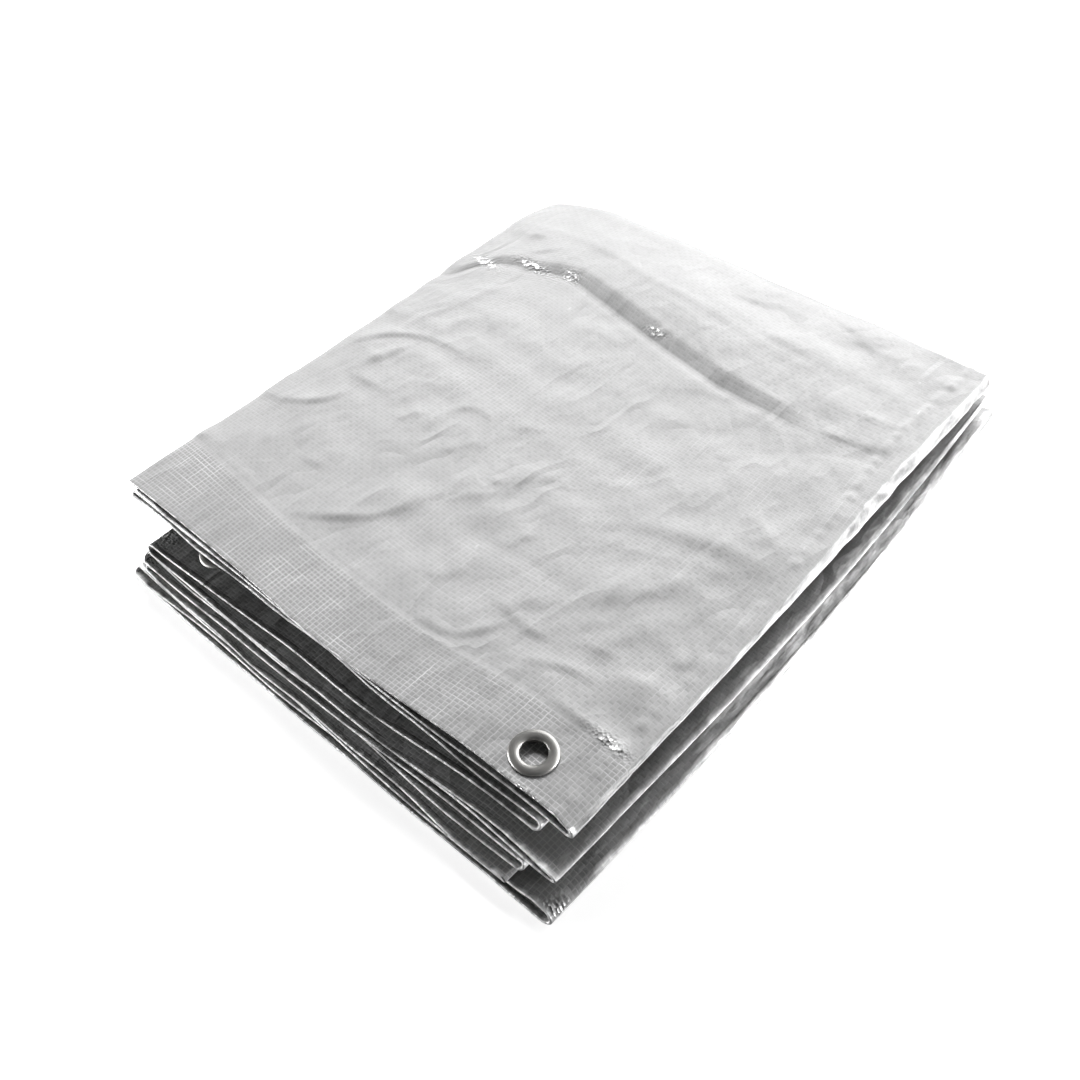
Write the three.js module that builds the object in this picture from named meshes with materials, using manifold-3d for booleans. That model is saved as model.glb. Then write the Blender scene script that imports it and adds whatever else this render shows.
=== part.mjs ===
// Folded tarpaulin of woven polyethylene, lying flat with its hemmed edge to the front.
//
// The sheet runs back and forth in one long section: each layer crosses the pack from side to side,
// turns over at a fold and comes back above. The hemmed edges face the front (-Y), the folds lie to
// the left (-X) and right (+X), and the top layer rolls down over the back. Two of the hem bands hold
// a metal eyelet each, and those bands are strips of their own.
import * as THREE from 'three';
import { mergeVertices } from 'three/addons/utils/BufferGeometryUtils.js';
import Module from 'manifold-3d';

const wasm = await Module();
wasm.setup();

// Driving dimensions, in millimetres
const SHEET_THICKNESS = 1.2;
const HEM_THICKNESS = 1.6;
const HEM_WIDTH = 36;
const PIECE_GAP = 0.3;
// Radius of the tightest turn that the sheet's middle surface may make
const TIGHTEST_TURN = 0.95;
const SHEET_COLOUR = 0xb4b6b6;
const EYELET_COLOUR = 0xa2a4a6;

// The layers from the floor up. hem says how far back of the lowest hem the layer's front edge lies, back
// is where it ends, and the z columns are the heights of its middle surface at the front and back corners.
// Each pair gives the left end and the right end.
const LAYERS = [
  { hem: [0, 0], back: 388, zFront: [0.6, 0.6], zBack: [0.6, 0.6] },
  { hem: [1, 2], back: 390, zFront: [2.8, 4.4], zBack: [2.6, 2.6] },
  { hem: [3, 1], back: 385, zFront: [5.0, 6.8], zBack: [4.8, 4.6] },
  { hem: [4, 0], back: 389, zFront: [7.4, 9.6], zBack: [7.0, 6.8] },
  { hem: [6, 7], back: 384, zFront: [9.8, 12.6], zBack: [9.2, 8.8] },
  { hem: [6, 8], back: 388, zFront: [12.4, 15.2], zBack: [11.6, 11.0] },
  { hem: [9, 9], back: 383, zFront: [15.6, 19.2], zBack: [14.2, 13.4] },
  { hem: [11, 11], back: 386, zFront: [18.4, 22.2], zBack: [16.8, 15.8] },
  { hem: [12, 18], back: 382, zFront: [23.2, 26.4], zBack: [19.8, 18.6] },
  { hem: [21, 20], back: 378, zFront: [37.4, 28.8], zBack: [29.6, 21.2] },
  { hem: [22, 22], back: 380, zFront: [39.7, 31.2], zBack: [32.6, 24.0] },
  { hem: [22, 25], back: 388, zFront: [42.0, 38.4], zBack: [35.6, 27.8] },
];

// The turns that join each layer to the next one up, from the floor: how far out each crest reaches at
// the front and the back, how much it bows out between them, and how deep the turn is from its crest.
const RIGHT_FOLDS = [
  { front: 297, back: 289, bow: 6, depth: 2.6 },
  { front: 273, back: 270, bow: 3, depth: 1.6 },
  { front: 277, back: 272, bow: 3, depth: 1.6 },
  { front: 293, back: 285, bow: 6, depth: 2.4 },
  { front: 276, back: 268, bow: 2, depth: 2.0 },
  { front: 290, back: 284, bow: 1, depth: 11 },
];
const LEFT_FOLDS = [
  { front: 2, back: 2, bow: -2, depth: 1.4 },
  { front: 10, back: 6, bow: -3, depth: 1.4 },
  { front: 8, back: 5, bow: -2, depth: 1.8 },
  { front: 12, back: 7, bow: -4, depth: 2.4 },
  { front: -9, back: -14, bow: -2, depth: 1.4 },
];
const LOWEST_LEFT_END = { front: 0, back: 1, bow: -3 };
const TOP_LEFT_END = { front: -18, back: -33, bow: 0 };

// The main folds of the top layer: a pleat whose riser faces the front, a soft ridge behind it, and
// the roll over the back edge, which fades out towards the right corner.
const PLEAT = { yLeft: 306, yRight: 290, riser: 10, rise: 5, fadeStart: 110, fadeEnd: 225 };
const RIDGE = { yLeft: 342, yRight: 312, halfWidth: 30, rise: 3.5, fadeStart: 60, fadeEnd: 300 };
const SAG = { x: 150, y: 190, radius: 110, depth: 2.0 };
const ROLL = { start: 376, radius: 24, length: 34, fadeStart: 170, fadeEnd: 270 };
const TOP_CORNER_RADIUS = 48;

// The eyelets, each set in the hem band of one layer (counted from 0 at the floor)
const EYELET = {
  holeRadius: 6,
  barrelRadius: 6.8,
  rimRadius: 11,
  rimHeight: 1.9,
  washerRadius: 10.2,
  washer: 0.7,
};
const EYELETS = [
  { name: 'top', layer: 11, x: 255.5, fromEdge: 16.5 },
  { name: 'lower', layer: 8, x: 47.5, fromEdge: 18 },
];

// Mesh resolution. EDGE_STEP is the share of a layer's width that its first and last steps take.
const STEPS_ACROSS = { flat: 5, shaped: 12 };
const EDGE_STEP = 0.05;
const STEPS_ROUND_FOLD = 6;
const STRIP_STEPS_BACK = 3;
const ROUND_SIDES = 28;
// Shares of the depth where the cross rows lie: close together at the pleat, the ridge and the roll
const DEPTH_ROWS = [0, 0.1, 0.26, 0.45, 0.62, 0.725, 0.755, 0.785, 0.83, 0.885, 0.925, 0.963, 1];

const TOP = LAYERS.length - 1;
// The top packet: the share of the top layer's own folds that it and the two layers under it follow
const RELIEF_SHARE = { [TOP]: 1, [TOP - 1]: 0.75, [TOP - 2]: 0.55 };
const lerp = THREE.MathUtils.lerp;
const smooth = (x, from, to) => THREE.MathUtils.smoothstep(x, from, to);
const evenSteps = (count, from, to) => Array.from({ length: count + 1 }, (_, i) => lerp(from, to, i / count));
const bowed = (end, v) => lerp(end.front, end.back, v) + end.bow * Math.sin(Math.PI * v);

// Where a layer's end lies on one side, at depth share v from the front to the back
function endOf(layer, side, v) {
  if (side === 'right') return bowed(RIGHT_FOLDS[Math.floor(layer / 2)], v);
  if (layer === 0) return bowed(LOWEST_LEFT_END, v);
  if (layer === TOP) return bowed(TOP_LEFT_END, v);
  return bowed(LEFT_FOLDS[Math.floor((layer - 1) / 2)], v);
}

// The top packet keeps its height over most of its width and comes down late, towards the right folds
function heightOf(layer, s, v) {
  const row = LAYERS[layer];
  const across = layer in RELIEF_SHARE ? s * s : s;
  return lerp(lerp(...row.zFront, across), lerp(...row.zBack, across), v);
}

// How far a fold reaches in from its crest, given the lower of the two layers that it joins. Where those
// lie close, the turn is kept round enough for the sheet's thickness.
function foldDepth(lower, s, v) {
  const row = lower % 2 === 0 ? RIGHT_FOLDS[lower / 2] : LEFT_FOLDS[(lower - 1) / 2];
  const half = (heightOf(lower + 1, s, v) - heightOf(lower, s, v)) / 2;
  return Math.min(row.depth, (half * half) / TIGHTEST_TURN);
}

// The lower layer of the fold at one end of a layer, or null where that end is free
function foldAt(layer, side) {
  if (side === 'right') return layer - (layer % 2);
  return layer === 0 || layer === TOP ? null : layer - 1 + (layer % 2);
}

// Height that the top layer's own folds add at a place, all of it upwards but for a shallow sag
function relief(x, y) {
  const along = x / 290;
  const pleatY = lerp(PLEAT.yLeft, PLEAT.yRight, along);
  const riser = smooth(y, pleatY - PLEAT.riser / 2, pleatY + PLEAT.riser / 2);
  const beyond = 1 - smooth(y, pleatY + 30, ROLL.start + ROLL.length);
  const pleat = PLEAT.rise * riser * beyond * (1 - smooth(x, PLEAT.fadeStart, PLEAT.fadeEnd));
  const fromRidge = (y - lerp(RIDGE.yLeft, RIDGE.yRight, along)) / RIDGE.halfWidth;
  const fade = 1 - smooth(x, RIDGE.fadeStart, RIDGE.fadeEnd);
  const ridge = RIDGE.rise * fade * Math.exp(-fromRidge * fromRidge);
  const fromSag = Math.hypot(x - SAG.x, y - SAG.y) / SAG.radius;
  const sag = SAG.depth * Math.exp(-fromSag * fromSag);
  return pleat + ridge - sag;
}

// Rounds the top layer's back left corner: a square patch there is drawn in to a quarter disc
function roundCorner(point) {
  const a = (endOf(TOP, 'left', 1) + TOP_CORNER_RADIUS - point.x) / TOP_CORNER_RADIUS;
  const b = (point.y - (ROLL.start + ROLL.radius - TOP_CORNER_RADIUS)) / TOP_CORNER_RADIUS;
  if (a <= 0 || b <= 0) return;
  point.x += TOP_CORNER_RADIUS * a * (1 - Math.sqrt(1 - (b * b) / 2));
  point.y -= TOP_CORNER_RADIUS * b * (1 - Math.sqrt(1 - (a * a) / 2));
}

// Bends the top layer down over the back edge
function rollOver(point) {
  const bend = 1 - smooth(point.x, ROLL.fadeStart, ROLL.fadeEnd);
  const over = point.y - ROLL.start;
  if (over <= 0 || bend < 0.01) return;
  const angle = (over / ROLL.radius) * bend;
  point.y = ROLL.start + (ROLL.radius * Math.sin(angle)) / bend;
  point.z -= (ROLL.radius * (1 - Math.cos(angle))) / bend;
}

// The two ends of a layer's flat run, between the turns at its sides
function runOf(layer, v) {
  const leftFold = foldAt(layer, 'left');
  return {
    left: endOf(layer, 'left', v) + (leftFold === null ? 0 : foldDepth(leftFold, 0, v)),
    right: endOf(layer, 'right', v) - foldDepth(foldAt(layer, 'right'), 1, v),
  };
}

// A point of a layer's middle surface: s runs from its left end to its right end, y from front to back
function layerPoint(layer, s, v, y) {
  const { left, right } = runOf(layer, v);
  const point = new THREE.Vector3(lerp(left, right, s), y, heightOf(layer, s, v));
  // The relief dies out at the right fold, where the two layers it joins have to run level
  const share = (RELIEF_SHARE[layer] ?? 0) * (1 - smooth(s, 0.8, 1));
  point.z += share * relief(point.x, point.y);
  if (layer === TOP) {
    rollOver(point);
    roundCorner(point);
  }
  return point;
}

// A layer's back end. The top one has enough cloth to roll down where it does so.
function backOf(layer, s) {
  if (layer !== TOP) return LAYERS[layer].back;
  return lerp(ROLL.start + ROLL.length, LAYERS[TOP].back, smooth(s, 0.45, 0.9));
}

const hemOf = (layer, s) => lerp(...LAYERS[layer].hem, s);

// One point of the folded pack's middle surface: u counts the layers, with the fold after each one as
// its second half, and d is the share of the depth from the layer's hem to its back end
function packPoint(u, d) {
  const layer = Math.min(Math.floor(u), TOP);
  const t = u - layer;
  const forward = layer % 2 === 0;
  const place = (k, s) => layerPoint(k, s, d, lerp(hemOf(k, s), backOf(k, s), d));
  if (layer === TOP || t <= 0.5) {
    const along = Math.min(t * 2, 1);
    return place(layer, forward ? along : 1 - along);
  }
  const turn = (t - 0.5) * 2 * Math.PI;
  const s = forward ? 1 : 0;
  const [low, high] = [place(layer, s), place(layer + 1, s)];
  const outwards = (forward ? 1 : -1) * foldDepth(layer, s, d);
  return new THREE.Vector3(
    lerp(low.x, high.x, (t - 0.5) * 2) + outwards * Math.sin(turn),
    lerp(low.y, high.y, (t - 0.5) * 2),
    lerp(low.z, high.z, (1 - Math.cos(turn)) / 2),
  );
}

// The stretch of the section whose hem band is the strip that holds an eyelet: its layer and the folds
// at that layer's ends
const stripStart = (eyelet) => eyelet.layer - 0.5;
const stripEnd = (eyelet) => Math.min(eyelet.layer + 1, TOP + 0.5);

// How much of the hem is cut away from the sheet at u: all of it along a strip, running out to nothing
// in the last short stretch of the layer before it and the first of the layer after it
function cutShare(u) {
  const runOut = EDGE_STEP / 2;
  const cuts = EYELETS.map((eyelet) => {
    const outside = Math.max(stripStart(eyelet) - u, u - stripEnd(eyelet), 0);
    return Math.max(1 - outside / runOut, 0);
  });
  return Math.max(...cuts);
}

const HEM_SHARE = HEM_WIDTH / (LAYERS[TOP].back - LAYERS[TOP].hem[0]);
const GAP_SHARE = (HEM_SHARE * PIECE_GAP) / HEM_WIDTH;
const sheetPoint = (u, v) => packPoint(u, lerp(cutShare(u) * (HEM_SHARE + GAP_SHARE), 1, v));
const stripPoint = (u, v) => packPoint(u, HEM_SHARE * v);

// A closed sheet: a grid of middle points, thickened to both sides and closed along its four edges.
// pointAt(u, v) gives the middle surface, us and vs are the grid lines.
function thickSheet(pointAt, us, vs, thickness) {
  const tiny = 1e-4;
  const positions = [];
  for (const side of [0.5, -0.5]) {
    for (const u of us) {
      for (const v of vs) {
        const [u0, u1] = [Math.max(u - tiny, us[0]), Math.min(u + tiny, us.at(-1))];
        const [v0, v1] = [Math.max(v - tiny, 0), Math.min(v + tiny, 1)];
        const alongU = pointAt(u1, v).sub(pointAt(u0, v));
        const alongV = pointAt(u, v1).sub(pointAt(u, v0));
        const normal = alongU.cross(alongV).normalize();
        positions.push(...pointAt(u, v).addScaledVector(normal, side * thickness).toArray());
      }
    }
  }
  const rows = vs.length;
  const far = us.length * rows;
  const at = (i, j) => i * rows + j;
  const index = [];
  const quad = (a, b, c, d) => index.push(a, b, c, a, c, d);
  for (let i = 0; i + 1 < us.length; i += 1) {
    for (let j = 0; j + 1 < rows; j += 1) {
      quad(at(i, j), at(i + 1, j), at(i + 1, j + 1), at(i, j + 1));
      quad(far + at(i, j), far + at(i, j + 1), far + at(i + 1, j + 1), far + at(i + 1, j));
    }
    const last = rows - 1;
    quad(at(i, 0), far + at(i, 0), far + at(i + 1, 0), at(i + 1, 0));
    quad(at(i, last), at(i + 1, last), far + at(i + 1, last), far + at(i, last));
  }
  for (let j = 0; j + 1 < rows; j += 1) {
    const last = us.length - 1;
    quad(at(0, j), at(0, j + 1), far + at(0, j + 1), far + at(0, j));
    quad(at(last, j), far + at(last, j), far + at(last, j + 1), at(last, j + 1));
  }
  const geometry = new THREE.BufferGeometry();
  geometry.setAttribute('position', new THREE.Float32BufferAttribute(positions, 3));
  geometry.setIndex(index);
  return geometry;
}

// Grid lines of a stretch of the section: the steps across each layer and round the fold after it
function sectionLines(from, to) {
  const lines = [];
  for (let layer = 0; layer <= TOP; layer += 1) {
    const across = layer in RELIEF_SHARE ? STEPS_ACROSS.shaped : STEPS_ACROSS.flat;
    const shares = [0, ...evenSteps(across - 2, EDGE_STEP, 1 - EDGE_STEP), 1];
    lines.push(...shares.map((share) => layer + share / 2));
    if (layer < TOP) lines.push(...evenSteps(STEPS_ROUND_FOLD, layer + 0.5, layer + 1).slice(1, -1));
  }
  return lines.filter((u) => u >= from && u <= to);
}

function toManifold(geometry) {
  geometry.deleteAttribute('normal');
  geometry.deleteAttribute('uv');
  const merged = mergeVertices(geometry, 1e-4);
  return new wasm.Manifold(new wasm.Mesh({
    numProp: 3,
    vertProperties: new Float32Array(merged.attributes.position.array),
    triVerts: new Uint32Array(merged.index.array),
  }));
}

function fromManifold(solid) {
  const mesh = solid.getMesh();
  const geometry = new THREE.BufferGeometry();
  geometry.setAttribute('position', new THREE.BufferAttribute(mesh.vertProperties, 3));
  geometry.setIndex(new THREE.BufferAttribute(mesh.triVerts, 1));
  return geometry;
}

// Where an eyelet sits: its centre on the band's middle surface, and the turn to the band's own slope
function seatOf(eyelet) {
  const { layer, x, fromEdge } = eyelet;
  const { left, right } = runOf(layer, (HEM_SHARE * fromEdge) / HEM_WIDTH);
  const s = (x - left) / (right - left);
  const u = layer + (layer % 2 === 0 ? s : 1 - s) / 2;
  const v = fromEdge / HEM_WIDTH;
  const reach = 0.01;
  const alongU = stripPoint(u + reach, v).sub(stripPoint(u - reach, v));
  const alongV = stripPoint(u, v + reach).sub(stripPoint(u, v - reach));
  const normal = alongU.cross(alongV).normalize();
  if (normal.z < 0) normal.negate();
  return {
    centre: stripPoint(u, v),
    turn: new THREE.Quaternion().setFromUnitVectors(new THREE.Vector3(0, 0, 1), normal),
  };
}

// The band of hem that holds an eyelet, with the round hole that the eyelet's barrel passes through
function hemStrip(eyelet) {
  const us = sectionLines(stripStart(eyelet), stripEnd(eyelet));
  const band = thickSheet(stripPoint, us, evenSteps(STRIP_STEPS_BACK, 0, 1), HEM_THICKNESS);
  const seat = seatOf(eyelet);
  const drill = new THREE.CylinderGeometry(
    EYELET.barrelRadius + PIECE_GAP, EYELET.barrelRadius + PIECE_GAP, 3 * HEM_THICKNESS, ROUND_SIDES,
  );
  drill.rotateX(Math.PI / 2).applyQuaternion(seat.turn).translate(...seat.centre.toArray());
  return fromManifold(toManifold(band).subtract(toManifold(drill)));
}

// The eyelet: a rolled rim above the band, a barrel through its hole and a flat washer under it
function eyeletGeometry() {
  const { holeRadius, barrelRadius, rimRadius, washerRadius, rimHeight, washer } = EYELET;
  const seatHeight = HEM_THICKNESS / 2 + PIECE_GAP;
  const middle = (holeRadius + rimRadius) / 2;
  const halfWidth = (rimRadius - holeRadius) / 2;
  const profile = [
    new THREE.Vector2(barrelRadius, -seatHeight),
    new THREE.Vector2(barrelRadius, seatHeight),
    new THREE.Vector2(rimRadius, seatHeight),
  ];
  const domeSteps = 6;
  for (let i = 1; i < domeSteps; i += 1) {
    const angle = (Math.PI * i) / domeSteps;
    const radius = middle + halfWidth * Math.cos(angle);
    profile.push(new THREE.Vector2(radius, seatHeight + rimHeight * Math.sin(angle)));
  }
  profile.push(
    new THREE.Vector2(holeRadius, seatHeight),
    new THREE.Vector2(holeRadius, -seatHeight - washer),
    new THREE.Vector2(washerRadius, -seatHeight - washer),
    new THREE.Vector2(washerRadius, -seatHeight),
    new THREE.Vector2(barrelRadius, -seatHeight),
  );
  const lathe = new THREE.LatheGeometry(profile, ROUND_SIDES);
  lathe.deleteAttribute('normal');
  lathe.deleteAttribute('uv');
  return mergeVertices(lathe.rotateX(Math.PI / 2), 1e-4);
}

// The pieces, gathered in the pack's own frame: x and y from the lowest hem's left corner
const sheetFinish = new THREE.MeshStandardMaterial({ color: SHEET_COLOUR, roughness: 0.38, metalness: 0 });
const eyeletFinish = new THREE.MeshStandardMaterial({ color: EYELET_COLOUR, roughness: 0.25, metalness: 1 });
const pack = new THREE.Group();

function addPiece(name, geometry, finish) {
  const piece = new THREE.Mesh(geometry, finish);
  piece.name = name;
  pack.add(piece);
  return piece;
}

const sheetLines = sectionLines(0, TOP + 0.5);
addPiece('tarp_sheet', thickSheet(sheetPoint, sheetLines, DEPTH_ROWS, SHEET_THICKNESS), sheetFinish);
for (const eyelet of EYELETS) {
  addPiece(`hem_strip_${eyelet.name}`, hemStrip(eyelet), sheetFinish);
  const seat = seatOf(eyelet);
  const ring = addPiece(`eyelet_${eyelet.name}`, eyeletGeometry(), eyeletFinish);
  ring.position.copy(seat.centre);
  ring.quaternion.copy(seat.turn);
}

// The origin is at the middle of the pack's outline, on the floor
const outline = new THREE.Box3().setFromObject(pack, true);
pack.position.set(-(outline.min.x + outline.max.x) / 2, -(outline.min.y + outline.max.y) / 2, -outline.min.z);
const part = new THREE.Group();
part.add(pack);

export default part;
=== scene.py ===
"""A folded tarpaulin of woven polyethylene with metal eyelets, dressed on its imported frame.

The sheet is one long back-and-forth section: twelve layers and the turns between them, with the
hemmed edges to the front, and the creases of the top layer placed one by one. Lengths in the tables
are in millimetres in the pack's own frame, whose corner is the lowest hem's left end on the floor.
"""
import math

import bpy
import numpy as np
from bpy.props import FloatProperty, FloatVectorProperty, IntProperty, PointerProperty
from mathutils import Matrix, Vector


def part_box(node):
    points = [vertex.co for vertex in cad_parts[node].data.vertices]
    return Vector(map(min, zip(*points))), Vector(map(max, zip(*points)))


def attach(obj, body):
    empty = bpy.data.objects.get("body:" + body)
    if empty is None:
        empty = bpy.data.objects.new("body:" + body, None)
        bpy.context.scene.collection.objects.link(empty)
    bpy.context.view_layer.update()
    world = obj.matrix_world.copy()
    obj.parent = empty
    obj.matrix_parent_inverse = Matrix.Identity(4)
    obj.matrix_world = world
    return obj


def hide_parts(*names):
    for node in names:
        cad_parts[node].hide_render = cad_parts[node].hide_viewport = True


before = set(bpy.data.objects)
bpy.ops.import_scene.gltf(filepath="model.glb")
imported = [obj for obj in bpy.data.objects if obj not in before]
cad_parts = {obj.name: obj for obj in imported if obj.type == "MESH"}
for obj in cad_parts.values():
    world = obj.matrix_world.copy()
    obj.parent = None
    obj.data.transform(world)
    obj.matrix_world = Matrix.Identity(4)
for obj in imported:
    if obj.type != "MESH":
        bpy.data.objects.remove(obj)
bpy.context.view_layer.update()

bl_info = {
    "name": "Folded Tarpaulin",
    "version": (1, 0, 0),
    "blender": (4, 5, 0),
    "location": "View3D > Sidebar > Tarpaulin",
    "description": "Builds a folded tarpaulin with eyelets, and the stage it is shown on",
    "category": "Object",
}

MM = 0.001

# How far right of the pack's corner the lowest fold bows out, which sets the corner in the frame
RIGHT_REACH = 299.91
SHEET_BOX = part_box("tarp_sheet")
CORNER = np.array([SHEET_BOX[1][0] / MM - RIGHT_REACH, SHEET_BOX[0][1] / MM, 0.0])

# The layers from the floor up: where the front edge lies at its left and right ends, where the layer
# ends at the back, and the height of its middle surface at the four corners.
# front left, front right, back, z front left, z front right, z back left, z back right
LAYERS = np.array([
    (0, 0, 388, 0.7, 0.7, 0.7, 0.7),
    (1, 2, 390, 2.9, 4.4, 2.7, 2.7),
    (3, 1, 385, 5.0, 6.8, 4.8, 4.6),
    (4, 0, 389, 7.4, 9.6, 7.0, 6.8),
    (6, 7, 384, 9.8, 12.6, 9.2, 8.8),
    (6, 8, 388, 12.4, 15.2, 11.6, 11.0),
    (9, 9, 383, 15.6, 19.2, 14.2, 13.4),
    (11, 11, 386, 18.4, 22.2, 16.8, 15.8),
    (12, 18, 382, 23.2, 26.4, 19.8, 18.6),
    (21, 20, 378, 38.4, 29.4, 29.6, 21.2),
    (22, 22, 380, 40.2, 31.8, 32.6, 24.0),
    (22, 25, 388, 42.0, 38.4, 35.6, 27.8),
])
TOP = len(LAYERS) - 1
# Depth of a layer along the cloth, and where the top layer starts and ends on average
LAYER_DEPTH = 385
TOP_FRONT, TOP_BACK = 24, LAYERS[TOP, 2]
# The top packet keeps its height over most of its width and comes down late, towards the right folds
LATE_DROP = {TOP: 2.0, TOP - 1: 2.0, TOP - 2: 2.0}

# Near the front the top layer comes further down to its right fold: how far, from which share of its
# width, and the shares of the depth where that is still full and where it is gone
SHOULDER = {"drop": 3.8, "from_share": 0.76, "full_to_depth": 0.2, "gone_at_depth": 0.75}
# The top turn hangs: the higher this power, the lower its crest lies between its two layers
CREST_LOWERING = {TOP - 1: 2.2}

# The turns at the two sides, from the floor up: crest at the front, crest at the back, how far it bows
# out between them, and how deep the turn is from its crest to the flat of the layer
RIGHT_FOLDS = ((297, 289, 6, 3.5), (273, 270, 3, 1.6), (277, 272, 3, 1.6), (293, 285, 6, 2.4),
               (276, 268, 2, 2.0), (290, 284, 1, 11.0))
LEFT_FOLDS = ((2, 2, -2, 1.4), (10, 6, -3, 1.4), (8, 5, -2, 1.8), (12, 7, -4, 2.6), (-9, -14, -2, 1.2))
LOWEST_LEFT_END = (0, 1, -3, 0.0)
TOP_LEFT_END = (-18, -33, 0, 0.0)
# Radius of the tightest turn that the sheet makes, and the share of a turn's depth that its dents take
TIGHTEST_TURN = 0.9
FOLD_DENTS = 0.07

# Front edges of the layers that show best, from the floor up: x, then y, along the pack
FRONT_EDGES = {
    0: ((0, -0.2), (142, -0.6), (231, 0.1), (295, 0.9)),
    5: ((9, 4.7), (138, 5.7), (248, 9.2), (274, 9.7)),
    7: ((20, 8.3), (91, 8.6), (193, 8.5), (267, 11.7), (292, 10.0)),
    8: ((12, 11.0), (65, 12.2), (121, 14.1), (187, 14.4), (235, 18.7), (274, 19.3)),
    10: ((-10, 22.0), (195, 21.6), (237, 22.7), (277, 23.9)),
    TOP: ((-18, 24.0), (80, 22.9), (146, 20.4), (195, 22.4), (230, 24.6), (256, 25.2), (281, 25.7),
          (290, 24.5)),
}
# Hem line of the top layer, the foot of its pleat and the ridge behind it: x, then y, along the pack
HEM_LINE = ((-18, 66.0), (6, 64.0), (90, 57.0), (184, 56.0), (229, 61.0), (260, 62.5), (290, 64.0))
PLEAT_FOOT = ((-30, 262), (-23, 266), (-9, 289), (16, 300), (42, 308), (70, 303), (108, 295),
              (143, 288), (173, 283), (203, 282), (290, 284))
RIDGE_LINE = ((-30, 334), (5, 341), (57, 339), (81, 334), (130, 332), (169, 326), (207, 324), (290, 318))

# Height of the pleat's riser along the pack, and of the ridge behind it: x, then height
PLEAT_RISE = ((-30, 1.2), (0, 2.0), (40, 3.2), (60, 4.0), (150, 4.0), (195, 3.0), (225, 1.0), (265, 0.0))
RIDGE_RISE = ((-30, 1.6), (20, 2.4), (120, 2.2), (200, 1.2), (290, 0.0))
# How far the riser runs from its foot to its top, how much of it is lost behind and from where to where,
# and the groove before its foot as a share of its height
PLEAT = {"run": 8.5, "lost": 0.85, "lost_over": (25, 105), "groove": 0.12, "groove_at": -2.5,
         "groove_width": 3.0}
# The ridge is broad, with a narrow crest
RIDGE = {"broad": 26, "narrow": 4, "broad_share": 0.8}
# The middle of the top layer sags, and its free left edge droops
SAG = {"depth": 1.6, "x": 150, "y": 190, "reach": 110}
DROOP = {"depth": 1.8, "reach": 11}
# The hem ends in a small step with a puckered seam behind it, and over some way the cloth turns limp
HEM = {"step": 0.2, "half_run": 2.0, "seam": 0.25, "seam_at": 4, "seam_width": 3.5, "pucker": 17,
       "limp": (-6, 14)}
# How far the hem of the top layer and the cloth behind it lie from even
UNEVEN = (0.1, 0.4)

# Where the top layer is pinched beside its right fold: y, then x
PINCH_LINE = ((24, 281), (60, 280), (168, 280), (216, 277), (253, 274), (300, 269), (345, 270), (388, 272))
PINCH = {"rise": 0.7, "half_width": 1.8, "uneven": 0.6}

# Creases of the top layer: start x and y, end x and y, how far the middle bends to the left of the
# straight line, half width and height
CREASES = (
    (-16, 117, 18, 149, -11, 4.6, 2.6), (10, 159, 32, 160, 0, 3.5, 1.6), (-14, 178, 37, 212, 11, 4.4, 2.6),
    (5, 169, 13, 197, -1, 5.0, 2.4), (19, 215, 22, 239, 0, 3.5, 1.4), (-2, 202, 12, 275, -1, 4.0, 1.3),
    (-11, 213, 3, 244, 1, 4.0, 1.2), (74, 67, 111, 112, -7, 4.8, 2.5), (122, 121, 137, 140, 1, 3.5, 1.0),
    (171, 59, 201, 83, -7, 4.4, 2.1), (190, 89, 222, 90, -3, 4.0, 2.0), (223, 75, 250, 83, 2, 5.0, 2.1),
    (236, 98, 248, 102, -1, 4.0, 1.5), (75, 175, 96, 179, 5, 3.5, 1.3), (58, 148, 65, 160, 0, 5.0, 1.2),
    (113, 188, 124, 192, -1, 3.5, 0.9), (41, 95, 57, 95, 0, 4.0, 1.4), (-23, 66, -13, 74, 0, 3.5, 1.6),
    (94, 145, 105, 162, -1, 6.0, 1.2), (126, 146, 143, 163, -6, 4.5, 1.2), (165, 117, 174, 133, 0, 4.5, 1.3),
    (151, 80, 163, 94, -3, 7.0, 1.2), (191, 160, 284, 187, 8, 14.0, 2.2), (204, 102, 256, 181, -7, 12.0, 1.8),
    (239, 102, 265, 153, -3, 9.0, 1.3), (249, 65, 285, 66, 1, 3.2, 1.8), (270, 93, 272, 112, 1, 4.0, 1.0),
    (269, 113, 279, 128, 0, 4.0, 1.2), (118, 296, 109, 316, 0, 3.0, 1.0), (142, 307, 171, 288, -1, 3.5, 1.2),
    (167, 309, 186, 290, 0, 3.5, 1.0), (135, 354, 155, 360, 0, 6.0, 1.6), (167, 333, 194, 335, 0, 8.0, 1.6),
    (193, 373, 221, 366, 1, 8.0, 1.5), (244, 310, 268, 316, 0, 4.0, 1.6), (239, 288, 270, 292, 0, 5.0, 1.4),
    (-24, 326, 3, 331, -1, 4.0, 1.6), (3, 305, 20, 326, 0, 4.0, 1.6), (-22, 297, -6, 293, 0, 3.0, 1.5),
)
# Share of those heights that is left after the pack was pressed flat, and how far a crease wanders
CREASE_SHARE, CREASE_WANDER = 0.62, 0.9
# The small creases between them: how many, then from least to most where they lie, their lengths, half
# widths, heights and bends, and how much steeper they are to the front
FINE_CREASES = {"count": 220, "x": (-30, 290), "y": (62, 395), "length": (16, 64), "half_width": (1.6, 4.0),
                "height": (0.05, 0.28), "bend": (-0.012, 0.012), "steeper": 1.7}
# A ring pressed into the top layer by an eyelet that lies under it: x, y, radius, half width, height
IMPRINT = (169, 43, 10.0, 1.8, 0.16)

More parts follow.
